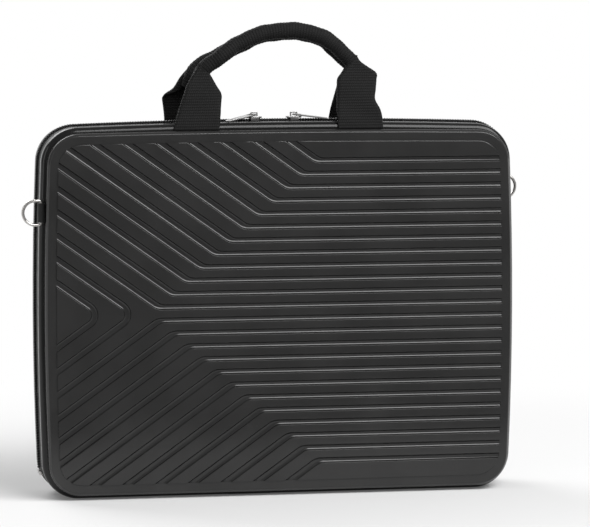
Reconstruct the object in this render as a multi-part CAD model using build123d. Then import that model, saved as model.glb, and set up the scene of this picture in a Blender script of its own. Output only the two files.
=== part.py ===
from build123d import *
import os
from math import asin, cos, degrees, hypot, radians, sin, sqrt, tan

# A hard laptop case that stands on its lower edge, front to -Y, millimetres.
# Two dished shells sit in bead rims. A zip joins the rims along the sides and the top,
# and a fabric gusset hinges them along the bottom. Each half is drawn in front, at
# negative y, and the rear half is the same moulding turned half round the upright axis.

# ---- outline of the shells and rims, seen from the front ----
SHELL_WIDTH = 398.0        # across the shell at its seam, at mid height
SHELL_HEIGHT = 304.0       # the shell at its seam, at mid width
SHELL_CORNER = 27.0        # corner radius at the seam
SIDE_BOW = 4.0             # how far the sides belly out
SHELL_TOP_BOW = 2.0        # how far the top edge of the shell arches
RIM_TOP_BOW = 4.0          # how far the top of the rim arches
RIM_PROUD = 4.0            # the rim stands out past the shell
RIM_PROUD_TOP = 6.2        # the same at the middle of the top

# ---- section through one half, measured from the middle plane of the case ----
SEAM_Y = 24.0              # where the shell meets the rim
SHELL_DEPTH = 12.0         # seam to the border round the grooved field
SHELL_WALL = 2.4
SHELL_FLOOR = 2.6          # wall behind the border
SHELL_ROLL = 7.0           # big outer radius of the dish
RIM_WIDTH = 10.5           # bead, front to back
RIM_FRONT_ROUND = 5.5
RIM_BACK_BEVEL = 2.0
RIM_LEDGE = 1.3            # the zip tape is sewn on a ledge this far below the crest
RIM_BACK_Y = 10.0          # where the ledge ends
RIM_INSET = 5.0            # the rim reaches this far inside the shell's outline
TONGUE_DEPTH = 3.0         # lip of the rim inside the shell
FOOT_CUT = 0.3             # depth of the flats that the case stands on
FIT = 0.2                  # clearance between seated pieces
ROUND_FLATS = 2            # flats that stand for each big round

# ---- grooved field ----
FIELD_INSET = 9.2          # from the shell's outline to the field
FIELD_CORNER = 19.5
FIELD_SIDE_BOW = 2.6
FIELD_TOP_BOW = 1.5
LAND_HEIGHT = 1.1          # the field stands out of the border
GROOVE_DEPTH = 1.9         # below the lands
GROOVE_DRAFT = 1.3         # how far each wall leans out over the groove's depth
LEVEL_PITCH = 11.0         # level grooves
LEVEL_COUNT = 24
LEVEL_WIDTH = 5.0
SLANT_ANGLE = 35.4         # degrees
SLANT_PITCH = 19.7         # up the left edge of the field
SLANT_WIDTH = 6.3
FIRST_SLANT = 25.2         # inner chevron, height at the left edge above mid height
CHEVRON_COUNT = 2
GROOVE_BEND = 12.0         # bend radius on a groove's middle line
CHEVRON_BEND = 9.0
FIELD_EDGE_X = 187.0       # where the slants' heights are measured

# ---- zip ----
TAPE_THICK = 0.9
TAPE_GAP = 0.5             # from the middle plane to the edge of each tape and coil
COIL_WIDTH = 2.2
COIL_HEIGHT = 2.5
ZIP_END_Z = 22.0           # the zip stops this high at each side
SLIDER_AT = 17.0           # each slider's place from the middle
SLIDER_LENGTH = 13.0
SLIDER_WIDTH = 10.4
SLIDER_PLATE = 1.2
SLIDER_NOSE_CUT = 3.0      # chamfer of the plates' corners
SLIDER_GAP = 0.3           # clearance to the coil and the tape
NECK_WIDTH = 0.6
NECK_LENGTH = 2.6
BRIDGE_LENGTH = 6.4
BRIDGE_WIDTH = 2.2
BRIDGE_LEG = 1.2
BRIDGE_GAP = 2.8
BRIDGE_TOP = 1.2
PULL_LENGTH = 32.0
PULL_EYE = 8.8             # outer width at the bridge
PULL_TIP = 5.6
PULL_THICK = 1.2
PULL_WINDOW = 6.0          # eye opening along the pull
PULL_SLOT_WIDTH = 2.2
PULL_SLOT_LENGTH = 11.0
LEFT_PULL_YAW = 34.0       # turned to the front, degrees
RIGHT_PULL_YAW = 20.0
PULL_PIN_ROOM = 1.1        # from the pin's middle to the underside of the bridge
LEFT_PULL_DROOP = 8.0      # slope down to the rim, degrees
RIGHT_PULL_DROOP = 6.5
STOP_LENGTH = 4.0

# ---- handles ----
WEBBING_WIDTH = 38.0
WEBBING_THICK = 2.4
HANDLE_SPREAD = 70.0       # middle of each foot from the middle of the case
HANDLE_RISE = 88.5         # grip's top above the feet
GRIP_DEPTH = 13.4          # folded grip, up and down
GRIP_THICK = 9.0           # folded grip, front to back
GRIP_BEVEL = 2.7
HANDLE_NECK = 15.5         # the webbing is gathered to this width below the grip
HANDLE_NECK_RISE = 50.0
HANDLE_FOOT_RISE = 27.0    # full width up to here
HANDLE_LEAN = 13.6         # towards the other handle, degrees
HANDLE_SEAT = 1.6          # feet's hinge line above the shell's edge

# ---- shoulder strap rings ----
RING_WIRE = 2.7
WIRE_SIDES = 8
BOW_RUNS = 12              # straight runs in the D's half circle
BEND_RUNS = 2
RING_SPAN = 20.2           # height of the D on its wire's middle line
RING_LEG = 5.1             # straight part of the D
RING_BEND = 2.0            # corners of the D, on the wire's middle line
TAB_WALL = 1.2
TAB_REACH = 3.4            # ring's bar outside the seam
LEFT_RING_RISE = 85.0      # above mid height
RIGHT_RING_RISE = 98.0
TAB_STANDOFF = 2.4         # ring's bar in front of the seam

# ---- inside ----
LINING_PAD = 4.0           # padding on the floor of the tray
LINING_WALL = 3.0
LINING_BEVEL = 4.5
LINING_STOP_Y = 7.0        # edge of the padding, short of the middle plane
STRAP_WIDTH = 25.0
STRAP_THICK = 1.2
STRAP_AT = 110.0

# ---- rim joint covers ----
COVER_LENGTH = 36.0
COVER_SHIFT = 11.0         # off the middle
COVER_WALL = 0.8

# ---- levels worked out from the sizes above ----
CREST_BOTTOM = -FOOT_CUT
SEAM_BOTTOM = CREST_BOTTOM + RIM_PROUD
SEAM_TOP = SEAM_BOTTOM + SHELL_HEIGHT
CREST_TOP = SEAM_TOP + RIM_PROUD_TOP
MID_Z = SEAM_BOTTOM + SHELL_HEIGHT / 2
HALF_WIDTH = SHELL_WIDTH / 2
CREST_HALF = HALF_WIDTH + RIM_PROUD
BORDER_Y = SEAM_Y + SHELL_DEPTH
LAND_Y = BORDER_Y + LAND_HEIGHT
CAVITY_Y = BORDER_Y - SHELL_FLOOR
BEAD_BACK_Y = SEAM_Y - RIM_WIDTH
LINING_INSET = RIM_INSET + FIT


def arc_radius(half_chord, bow):
    return (half_chord ** 2 + bow ** 2) / (2 * bow)


def bowed_outline(half_width, bottom, top, side_bow, top_bow, corner, grow):
    """Rounded outline with a straight base, bellied sides and an arched top.

    It is grown evenly all round, so that outlines of one family stay parallel.
    """
    shoulder = top - top_bow
    side_radius = arc_radius((shoulder - bottom) / 2, side_bow)
    top_radius = arc_radius(half_width - side_bow, top_bow)
    right = Pos(half_width - side_radius, (shoulder + bottom) / 2) * Rot(0, 0, 180)
    left = Pos(side_radius - half_width, (shoulder + bottom) / 2)
    plan = right * Circle(side_radius + grow) & left * Circle(side_radius + grow)
    plan &= Pos(0, top - top_radius) * Circle(top_radius + grow)
    plan &= Pos(0, bottom - grow + side_radius) * Rectangle(4 * half_width, 2 * side_radius)
    return fillet(plan.vertices(), corner + grow)


def flat_corners(radius):
    """Corners between the flats that touch a round's arc, inward from its two faces."""
    half_turn = radians(45 / (ROUND_FLATS + 1))
    corners = []
    for step in range(ROUND_FLATS + 1):
        angle = (2 * step + 1) * half_turn
        reach = radius / cos(half_turn)
        corners.append((radius - reach * cos(angle), radius - reach * sin(angle)))
    return corners


def stepped_round(piece, radius):
    """Round a piece's front outer edge with flats."""
    reached = 0.0
    for step, (inward, depth) in enumerate(flat_corners(radius)[:-1], start=1):
        angle = radians(90 * step / (ROUND_FLATS + 1))
        crossing = radius * (cos(angle) + sin(angle) - 1) / cos(angle)
        front = piece.faces().sort_by(Axis.Y)[0]
        along = hypot(reached - inward, depth)
        piece = chamfer(front.edges(), crossing - reached, along, reference=front)
        reached = crossing
    return piece


def slab(profile, near, far):
    """A front view drawn solid between y = near and y = far."""
    return extrude(Plane.XZ.offset(-far) * profile, amount=far - near)


def turned(piece):
    """The rear half's copy of a front piece."""
    return Rot(0, 0, 180) * piece


def seam_outline(grow=0.0):
    return bowed_outline(
        HALF_WIDTH, SEAM_BOTTOM, SEAM_TOP, SIDE_BOW, SHELL_TOP_BOW, SHELL_CORNER, grow
    )


def crest_outline(grow=0.0):
    corner = SHELL_CORNER + RIM_PROUD
    return bowed_outline(
        CREST_HALF, CREST_BOTTOM, CREST_TOP, SIDE_BOW, RIM_TOP_BOW, corner, grow
    )


def field_outline():
    low = SEAM_BOTTOM + FIELD_INSET
    high = SEAM_TOP - FIELD_INSET
    half = HALF_WIDTH - FIELD_INSET
    return bowed_outline(half, low, high, FIELD_SIDE_BOW, FIELD_TOP_BOW, FIELD_CORNER, 0)


# ---- shells ----
def front_edges(piece):
    return piece.faces().sort_by(Axis.Y)[0].edges()


def back_edges(piece):
    return piece.faces().sort_by(Axis.Y)[-1].edges()


def strip(left_end, corner, right_end, slant_width, level_width, bend):
    """Groove plan: slanted up to its corner, then level, with a rounded bend."""
    slope = radians(SLANT_ANGLE)
    across = slant_width / 2 / cos(slope)
    half = level_width / 2
    shift_up = (across - half) / tan(slope)
    plan = Polygon(
        (left_end[0], left_end[1] + across),
        (corner[0] + shift_up, corner[1] + half),
        (right_end, corner[1] + half),
        (right_end, corner[1] - half),
        (corner[0] - shift_up, corner[1] - half),
        (left_end[0], left_end[1] - across),
        align=None,
    )
    near_corner = plan.vertices().filter_by(
        lambda v: abs(v.X - corner[0]) < SLANT_WIDTH and abs(v.Y - corner[1]) < LEVEL_WIDTH
    )
    above = near_corner.sort_by(Axis.Y)[-1]
    plan = fillet([above], bend - half)
    below = plan.vertices().filter_by(
        lambda v: abs(v.X - corner[0] + shift_up) < 0.01 and abs(v.Y - corner[1] + half) < 0.01
    )
    return fillet(below, bend + half)


def level_height(index):
    return ((LEVEL_COUNT + 1) / 2 - index) * LEVEL_PITCH


def groove_plans():
    """Plans of the upper half's grooves, from mid height, and the chevrons' upper arms."""
    slope = tan(radians(SLANT_ANGLE))
    reach = HALF_WIDTH + 40
    upper_count = LEVEL_COUNT // 2
    plans = []
    for index in range(1, upper_count + 1):
        level = level_height(index)
        slant = FIRST_SLANT + SLANT_PITCH * (CHEVRON_COUNT + upper_count - index)
        corner = -FIELD_EDGE_X + (slant - level) / slope
        start = (-reach, level + (corner + reach) * slope)
        plans.append(
            strip(start, (corner, level), reach, SLANT_WIDTH, LEVEL_WIDTH, GROOVE_BEND)
        )
    return plans


def chevron_plans():
    """Plans of the closed chevrons at the left, symmetric about mid height."""
    slope = tan(radians(SLANT_ANGLE))
    across = SLANT_WIDTH / 2 / cos(radians(SLANT_ANGLE))
    reach = HALF_WIDTH + 40
    plans = []
    for index in range(CHEVRON_COUNT):
        tip = -FIELD_EDGE_X + (FIRST_SLANT + SLANT_PITCH * index) / slope
        rise = (tip + reach) * slope
        plan = Polygon(
            (-reach, rise + across),
            (tip + across / slope, 0),
            (-reach, -rise - across),
            (-reach, -rise + across),
            (tip - across / slope, 0),
            (-reach, rise - across),
            align=None,
        )
        on_axis = plan.vertices().filter_by(lambda v: abs(v.Y) < 0.01)
        plan = fillet([on_axis.sort_by(Axis.X)[-1]], CHEVRON_BEND + SLANT_WIDTH / 2)
        inner = plan.vertices().filter_by(lambda v: abs(v.Y) < 0.01).sort_by(Axis.X)[:1]
        plans.append(fillet(inner, CHEVRON_BEND - SLANT_WIDTH / 2))
    return plans


def grooves():
    """Cutters for all grooves, which end on the field's outline."""
    field = slab(field_outline(), -LAND_Y - 1, GROOVE_DEPTH - LAND_Y)
    upper = groove_plans()
    lower = [mirror(plan, Plane.XZ) for plan in upper]
    cutters = []
    for plan in upper + lower + chevron_plans():
        floor = Plane.XZ.offset(LAND_Y - GROOVE_DEPTH) * Pos(0, MID_Z) * plan
        cutter = extrude(floor, amount=GROOVE_DEPTH + 1, dir=(0, -1, 0))
        bottom = cutter.faces().sort_by(Axis.Y)[-1]
        cutter = chamfer(bottom.edges(), GROOVE_DRAFT, GROOVE_DEPTH, reference=bottom)
        cutters.append(cutter & field)
    return cutters


def shell():
    dish = slab(seam_outline(), -BORDER_Y, -SEAM_Y)
    dish = stepped_round(dish, SHELL_ROLL)
    field = slab(field_outline(), -LAND_Y, -CAVITY_Y - FIT)
    inside = slab(seam_outline(-SHELL_WALL), -CAVITY_Y, -SEAM_Y)
    inside = chamfer(front_edges(inside), SHELL_ROLL - SHELL_WALL)
    return dish + field - grooves() - inside


# ---- rims ----
def rim_without_cover():
    bead = slab(crest_outline(), -SEAM_Y, -BEAD_BACK_Y)
    bead = stepped_round(bead, RIM_FRONT_ROUND)
    bead = chamfer(back_edges(bead), RIM_BACK_BEVEL)
    ledge = slab(crest_outline(-RIM_LEDGE), -BEAD_BACK_Y - RIM_BACK_BEVEL, -RIM_BACK_Y)
    tongue = slab(seam_outline(-SHELL_WALL - FIT), -SEAM_Y - TONGUE_DEPTH, -SEAM_Y + 1)
    hollow = slab(seam_outline(-RIM_INSET), -SEAM_Y - TONGUE_DEPTH, -RIM_BACK_Y)
    below_floor = Pos(0, 0, -25) * Box(2 * SHELL_WIDTH, 4 * SEAM_Y, 50)
    return bead + ledge + tongue - hollow - below_floor


def cover_section(skin):
    """Section of the bead along its straight base, front face to the left."""
    rounded = [(depth, up) for up, depth in flat_corners(RIM_FRONT_ROUND)]
    bead = Polygon(
        *rounded,
        (0, 2 * RIM_FRONT_ROUND),
        (RIM_WIDTH, 2 * RIM_FRONT_ROUND),
        (RIM_WIDTH, RIM_BACK_BEVEL),
        (RIM_WIDTH - RIM_BACK_BEVEL, 0),
        align=None,
    )
    return offset(bead, -skin) if skin else bead


def cover_skin():
    """The recessed skin of the bead that the joint cover fills."""
    start = Plane((COVER_SHIFT - COVER_LENGTH / 2, -SEAM_Y, CREST_BOTTOM), (0, 1, 0), (1, 0, 0))
    outside = extrude(start * cover_section(0), amount=COVER_LENGTH)
    inside = extrude(start * cover_section(COVER_WALL), amount=COVER_LENGTH)
    upper = Pos(0, 0, SEAM_BOTTOM + 50) * Box(SHELL_WIDTH, 4 * SEAM_Y, 100)
    below_floor = Pos(0, 0, -25) * Box(SHELL_WIDTH, 4 * SEAM_Y, 50)
    return outside - inside - upper - below_floor


def rim():
    return rim_without_cover() - cover_skin()


# ---- zip ----
def zip_band(low, high, near, far):
    """A band that follows the rim, from low to high above its crest."""
    return slab(crest_outline(high), near, far) - slab(crest_outline(low), near - 1, far + 1)


def above_zip_end(piece):
    return piece - Pos(0, 0, ZIP_END_Z - 250) * Box(2 * SHELL_WIDTH, 4 * SEAM_Y, 500)


TAPE_LOW = -RIM_LEDGE
TAPE_HIGH = TAPE_LOW + TAPE_THICK
COIL_HIGH = TAPE_HIGH + COIL_HEIGHT


def zip_tape():
    far = BEAD_BACK_Y - 0.05
    return above_zip_end(zip_band(TAPE_LOW, TAPE_HIGH, -far, -TAPE_GAP))


def zip_coil():
    far = TAPE_GAP + COIL_WIDTH
    band = zip_band(TAPE_HIGH, COIL_HIGH, -far, -TAPE_GAP)
    return above_zip_end(band)


def hinge_gusset():
    far = BEAD_BACK_Y - 0.05
    band = zip_band(TAPE_LOW, TAPE_HIGH, -far, far)
    return band & Pos(0, 0, ZIP_END_Z - 250) * Box(2 * SHELL_WIDTH, 4 * SEAM_Y, 500)


# ---- the zip's arc over the top, on which the sliders run ----
ZIP_RADIUS = arc_radius(CREST_HALF - SIDE_BOW, RIM_TOP_BOW)
ZIP_CENTRE_Z = CREST_TOP - ZIP_RADIUS


def on_zip(piece, distance):
    """Carry a piece from the top's middle along the zip's arc."""
    turn = degrees(asin(distance / ZIP_RADIUS))
    return Pos(0, 0, ZIP_CENTRE_Z) * Rot(0, turn, 0) * Pos(0, 0, -ZIP_CENTRE_Z) * piece


TOP_PLATE_LOW = COIL_HIGH + SLIDER_GAP
TOP_PLATE_HIGH = TOP_PLATE_LOW + SLIDER_PLATE
BOTTOM_PLATE_HIGH = TAPE_LOW - SLIDER_GAP
PIN_RISE = TOP_PLATE_HIGH + BRIDGE_GAP - PULL_PIN_ROOM


def plate(low, high):
    with BuildSketch() as plan:
        Rectangle(SLIDER_LENGTH, SLIDER_WIDTH)
        chamfer(plan.vertices(), SLIDER_NOSE_CUT)
    return Pos(0, 0, CREST_TOP + low) * extrude(plan.sketch, amount=high - low)


def block(x_size, y_size, low, high, x=0.0, y=0.0):
    centre = Pos(x, y, CREST_TOP + (low + high) / 2)
    return centre * Box(x_size, y_size, high - low)


def slider():
    """A zip slider at the middle of the top, its nose to -X."""
    flange_in = TAPE_GAP + COIL_WIDTH + SLIDER_GAP
    flange_width = SLIDER_WIDTH / 2 - flange_in
    flange_y = flange_in + flange_width / 2
    flange_length = SLIDER_LENGTH - 2 * SLIDER_NOSE_CUT
    flange_low = TAPE_HIGH + SLIDER_GAP
    bridge_high = TOP_PLATE_HIGH + BRIDGE_GAP + BRIDGE_TOP
    bridge = block(BRIDGE_LENGTH, BRIDGE_WIDTH, TOP_PLATE_HIGH, bridge_high)
    bridge = fillet(bridge.edges().filter_by(Axis.Y).group_by(Axis.Z)[-1], BRIDGE_TOP)
    window = BRIDGE_LENGTH - 2 * BRIDGE_LEG
    bridge -= block(window, BRIDGE_WIDTH, TOP_PLATE_HIGH, TOP_PLATE_HIGH + BRIDGE_GAP)
    neck_x = -SLIDER_LENGTH / 2 + NECK_LENGTH / 2 + 1
    body = plate(TOP_PLATE_LOW, TOP_PLATE_HIGH)
    body += plate(BOTTOM_PLATE_HIGH - SLIDER_PLATE, BOTTOM_PLATE_HIGH)
    body += block(NECK_LENGTH, NECK_WIDTH, BOTTOM_PLATE_HIGH, TOP_PLATE_LOW, neck_x)
    for side in (-1, 1):
        body += block(
            flange_length, flange_width, flange_low, TOP_PLATE_LOW, 0, side * flange_y
        )
    return body + bridge


def pull():
    """A pull drawn flat from its pin at the origin along +X."""
    pin_reach = PULL_THICK / 2
    with BuildSketch() as plan:
        with BuildLine():
            Polyline(
                (-pin_reach, PULL_EYE / 2),
                (PULL_WINDOW + 2 * PULL_THICK, PULL_EYE / 2),
                (PULL_LENGTH, PULL_TIP / 2),
                (PULL_LENGTH, -PULL_TIP / 2),
                (PULL_WINDOW + 2 * PULL_THICK, -PULL_EYE / 2),
                (-pin_reach, -PULL_EYE / 2),
                close=True,
            )
        make_face()
        corners = plan.vertices().group_by(Axis.X)
        fillet(corners[-1], PULL_TIP * 0.45)
        fillet(plan.vertices().group_by(Axis.X)[0], PULL_THICK * 0.9)
        window_width = PULL_EYE - 2 * PULL_THICK
        with Locations(((pin_reach + PULL_WINDOW) / 2 + pin_reach / 2, 0)):
            Rectangle(PULL_WINDOW - pin_reach, window_width, mode=Mode.SUBTRACT)
        with Locations((PULL_LENGTH - PULL_SLOT_LENGTH / 2 - PULL_TIP / 2, 0)):
            SlotOverall(PULL_SLOT_LENGTH, PULL_SLOT_WIDTH, mode=Mode.SUBTRACT)
    return extrude(plan.sketch, amount=PULL_THICK / 2, both=True)


def pull_on_zip(side, yaw, droop):
    """A pull lying outwards from its slider, turned to the front and sloping down."""
    heading = -yaw if side > 0 else 180 + yaw
    lying = Rot(0, 0, heading) * Rot(0, droop, 0) * pull()
    return on_zip(Pos(0, 0, CREST_TOP + PIN_RISE) * lying, side * SLIDER_AT)


def zip_stop(side):
    """Metal clip over both coils at the zip's lower end."""
    far = TAPE_GAP + COIL_WIDTH + 0.6
    band = zip_band(TAPE_HIGH, COIL_HIGH + 0.6, -far, far)
    reach = Pos(side * CREST_HALF, 0, ZIP_END_Z - STOP_LENGTH / 2)
    return band & reach * Box(CREST_HALF, 4 * SEAM_Y, STOP_LENGTH - 0.1)


# ---- handles ----
def grip_plan():
    """Front view of the gathered grip, between the two necks."""
    top_span = HANDLE_SPREAD + 1
    low_span = HANDLE_SPREAD - HANDLE_NECK + 2
    with BuildSketch() as plan:
        with BuildLine():
            ThreePointArc(
                (-top_span, HANDLE_NECK_RISE + 12), (0, HANDLE_RISE),
                (top_span, HANDLE_NECK_RISE + 12),
            )
            Line((top_span, HANDLE_NECK_RISE + 12), (HANDLE_SPREAD + 4, HANDLE_NECK_RISE))
            Line((HANDLE_SPREAD + 4, HANDLE_NECK_RISE), (low_span, HANDLE_NECK_RISE - 2))
            ThreePointArc(
                (low_span, HANDLE_NECK_RISE - 2), (0, HANDLE_RISE - GRIP_DEPTH),
                (-low_span, HANDLE_NECK_RISE - 2),
            )
            Line((-low_span, HANDLE_NECK_RISE - 2), (-HANDLE_SPREAD - 4, HANDLE_NECK_RISE))
            Line((-HANDLE_SPREAD - 4, HANDLE_NECK_RISE), (-top_span, HANDLE_NECK_RISE + 12))
        make_face()
    return plan.sketch


def leg_plan(side):
    """Front view of one leg: full webbing at the foot, gathered at the neck."""
    half = WEBBING_WIDTH / 2
    inner = HANDLE_SPREAD - HANDLE_NECK + 2
    outer = HANDLE_SPREAD + 4
    points = [
        (side * (HANDLE_SPREAD - half), 0),
        (side * (HANDLE_SPREAD - half), HANDLE_FOOT_RISE),
        (side * inner, HANDLE_NECK_RISE),
        (side * outer, HANDLE_NECK_RISE),
        (side * (HANDLE_SPREAD + half - 4), HANDLE_FOOT_RISE),
        (side * (HANDLE_SPREAD + half), 0),
    ]
    return Polygon(*points, align=None)


def handle():
    """Front handle: webbing legs and a folded grip, leaning back from its feet."""
    legs = extrude(Plane.XZ * leg_plan(1), amount=WEBBING_THICK / 2, both=True)
    legs += extrude(Plane.XZ * leg_plan(-1), amount=WEBBING_THICK / 2, both=True)
    grip = extrude(Plane.XZ * grip_plan(), amount=GRIP_THICK / 2, both=True)
    grip = chamfer(grip.edges().filter_by(GeomType.CIRCLE), GRIP_BEVEL)
    upright = legs + grip
    foot = Pos(0, -SEAM_Y - WEBBING_THICK / 2 - FIT, SEAM_TOP + HANDLE_SEAT)
    return foot * Rot(-HANDLE_LEAN, 0, 0) * upright


# ---- shoulder strap rings ----
def seam_edge_x(z):
    """Half width of the shell's outline at a height."""
    half = HALF_WIDTH - SIDE_BOW
    radius = arc_radius((SEAM_TOP - SHELL_TOP_BOW - SEAM_BOTTOM) / 2, SIDE_BOW)
    middle = (SEAM_TOP - SHELL_TOP_BOW + SEAM_BOTTOM) / 2
    return half + SIDE_BOW - radius + sqrt(radius ** 2 - (z - middle) ** 2)


LEFT_RING_Z = MID_Z + LEFT_RING_RISE
RIGHT_RING_Z = MID_Z + RIGHT_RING_RISE
BAR_Y = SEAM_Y + TAB_STANDOFF
BAR_X = seam_edge_x(LEFT_RING_Z) + TAB_REACH


def arc_points(centre_x, centre_z, radius, start, end, runs):
    """Corners of an arc's straight runs, from start to end in degrees."""
    angles = [radians(start + (end - start) * step / runs) for step in range(runs + 1)]
    return [(centre_x + radius * cos(a), centre_z + radius * sin(a)) for a in angles]


def d_ring(z):
    """D-ring in the left tab of the front seam, of wire with flats."""
    half = RING_SPAN / 2
    bend_z = half - RING_BEND
    points = arc_points(-RING_BEND, bend_z, RING_BEND, 0, 90, BEND_RUNS)
    points += arc_points(-RING_LEG, 0, half, 90, 270, BOW_RUNS)
    points += arc_points(-RING_BEND, -bend_z, RING_BEND, 270, 360, BEND_RUNS)
    with BuildLine(Plane.XZ) as path:
        Polyline(*points, (0, bend_z))
    wire = RegularPolygon(RING_WIRE / 2, WIRE_SIDES, rotation=180 / WIRE_SIDES)
    start = path.wire() ^ 0
    ring = sweep(start * wire, path=path.wire(), transition=Transition.RIGHT)
    return Pos(-BAR_X, -BAR_Y, z) * ring


def ring_tab(z):
    """Webbing loop round the ring's bar, sewn into the seam."""
    bore = RING_WIRE / 2 + FIT / 2
    height = RING_SPAN - 2 * RING_BEND - FIT
    tail = BAR_X - seam_edge_x(z - height / 2) - FIT
    turn = 180 / WIRE_SIDES
    with BuildSketch() as plan:
        RegularPolygon(bore + TAB_WALL, WIRE_SIDES, major_radius=False, rotation=turn)
        with Locations((tail / 2, 0)):
            Rectangle(tail, 2 * TAB_WALL)
        RegularPolygon(bore, WIRE_SIDES, major_radius=False, rotation=turn, mode=Mode.SUBTRACT)
    loop = extrude(plan.sketch, amount=height / 2, both=True)
    return Pos(-BAR_X, -BAR_Y, z) * loop


# ---- inside ----
def lining():
    """Padded tray: a floor pad with walls inside the rim."""
    tray = slab(seam_outline(-LINING_INSET), -CAVITY_Y + FIT, -LINING_STOP_Y)
    tray = chamfer(front_edges(tray), LINING_BEVEL)
    inside = seam_outline(-LINING_INSET - LINING_WALL)
    hollow = slab(inside, -CAVITY_Y + FIT + LINING_PAD, -LINING_STOP_Y)
    return tray - chamfer(front_edges(hollow), LINING_BEVEL)


LINING_FLOOR_Y = CAVITY_Y - FIT - LINING_PAD


def laptop_strap(x):
    """Elastic band on the tray's floor, sewn in above and below."""
    low = SEAM_BOTTOM + LINING_INSET + LINING_WALL + LINING_BEVEL
    high = SEAM_TOP - SHELL_TOP_BOW - LINING_INSET - LINING_WALL - LINING_BEVEL
    centre = Pos(x, -LINING_FLOOR_Y + STRAP_THICK / 2, (low + high) / 2)
    return centre * Box(STRAP_WIDTH, STRAP_THICK, high - low)


front_shell = shell()
front_rim = rim()
front_cover = cover_skin()
front_tape = zip_tape()
front_coil = zip_coil()
front_handle = handle()
front_lining = lining()
zip_slider = slider()

NODES = {
    "front_shell": front_shell,
    "front_rim": front_rim,
    "front_rim_joint_cover": front_cover,
    "front_zip_tape": front_tape,
    "front_zip_coil": front_coil,
    "front_lining": front_lining,
    "front_handle": front_handle,
    "rear_shell": turned(front_shell),
    "rear_rim": turned(front_rim),
    "rear_rim_joint_cover": turned(front_cover),
    "rear_zip_tape": turned(front_tape),
    "rear_zip_coil": turned(front_coil),
    "rear_lining": turned(front_lining),
    "rear_handle": turned(front_handle),
    "hinge_gusset": hinge_gusset(),
    "left_zip_stop": zip_stop(-1),
    "right_zip_stop": zip_stop(1),
    "left_slider": on_zip(turned(zip_slider), -SLIDER_AT),
    "right_slider": on_zip(zip_slider, SLIDER_AT),
    "left_pull": pull_on_zip(-1, LEFT_PULL_YAW, LEFT_PULL_DROOP),
    "right_pull": pull_on_zip(1, RIGHT_PULL_YAW, RIGHT_PULL_DROOP),
    "left_ring_tab": ring_tab(LEFT_RING_Z),
    "left_d_ring": d_ring(LEFT_RING_Z),
    "right_ring_tab": turned(ring_tab(RIGHT_RING_Z)),
    "right_d_ring": turned(d_ring(RIGHT_RING_Z)),
    "left_laptop_strap": turned(laptop_strap(STRAP_AT)),
    "right_laptop_strap": turned(laptop_strap(-STRAP_AT)),
}

os.makedirs("parts", exist_ok=True)
for name, piece in NODES.items():
    export_step(piece, f"parts/{name}.step")
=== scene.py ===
"""Dress the laptop hard case: meshes, finishes, studio and camera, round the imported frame."""

import logging
from contextlib import contextmanager
from dataclasses import dataclass
from enum import Enum
from math import asin, atan2, cos, degrees, hypot, pi, radians, sin, sqrt
from typing import Any, Callable, Iterator, Sequence

import bmesh
import bpy
from mathutils import Matrix, Vector


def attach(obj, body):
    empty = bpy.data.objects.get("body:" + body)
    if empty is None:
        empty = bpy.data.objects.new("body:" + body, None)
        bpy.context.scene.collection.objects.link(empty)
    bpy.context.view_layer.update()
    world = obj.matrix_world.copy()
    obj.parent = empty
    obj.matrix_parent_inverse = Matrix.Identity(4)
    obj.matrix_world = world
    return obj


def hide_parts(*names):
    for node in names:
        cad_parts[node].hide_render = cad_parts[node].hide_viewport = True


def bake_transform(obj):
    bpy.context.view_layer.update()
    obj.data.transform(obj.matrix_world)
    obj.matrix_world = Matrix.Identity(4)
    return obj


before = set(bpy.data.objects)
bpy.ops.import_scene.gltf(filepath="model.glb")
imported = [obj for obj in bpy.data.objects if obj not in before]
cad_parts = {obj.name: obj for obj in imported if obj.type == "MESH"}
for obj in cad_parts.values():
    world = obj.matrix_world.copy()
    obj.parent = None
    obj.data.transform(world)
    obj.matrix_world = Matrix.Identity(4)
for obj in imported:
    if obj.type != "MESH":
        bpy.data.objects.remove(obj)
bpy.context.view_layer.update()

LOG = logging.getLogger("hard_case")
MM = 0.001
PLACE = 0.02 * MM  # how near to a level a vertex counts as on it
HALF_TURN = Matrix.Rotation(pi, 4, "Z")
WEAVE_MAP = "weave"

Point = tuple[float, float]
Test = Callable[[Any], bool]


# ---------------------------------------------------------------- bench: modelling helpers
def deselect_all() -> None:
    """Clear the object selection, which the frame leaves full."""
    bpy.ops.object.select_all(action="DESELECT")


def activate(piece: bpy.types.Object) -> None:
    """Make one piece the only selected and active object.

    Args:
        piece: The object to work on.
    """
    deselect_all()
    piece.hide_set(False)
    piece.select_set(True)
    bpy.context.view_layer.objects.active = piece


@contextmanager
def editing(piece: bpy.types.Object) -> Iterator[bpy.types.Object]:
    """Hold one piece in edit mode with nothing in it selected.

    Args:
        piece: The mesh object to edit.

    Yields:
        The same piece.
    """
    activate(piece)
    bpy.ops.object.mode_set(mode="EDIT")
    bpy.ops.mesh.select_mode(type="VERT")
    bpy.ops.mesh.select_all(action="DESELECT")
    yield piece
    bpy.ops.object.mode_set(mode="OBJECT")


def pick_all() -> None:
    """Select the whole piece, in edit mode."""
    bpy.ops.mesh.select_all(action="SELECT")


def slice_at(place: Sequence[float], normal: Sequence[float]) -> None:
    """Cut all faces that a plane crosses, in edit mode."""
    pick_all()
    bpy.ops.mesh.bisect(plane_co=place, plane_no=normal)


class Part(Enum):
    """What is picked in edit mode, by its collection's name in a mesh."""

    EDGE = "edges"
    FACE = "faces"


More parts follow.
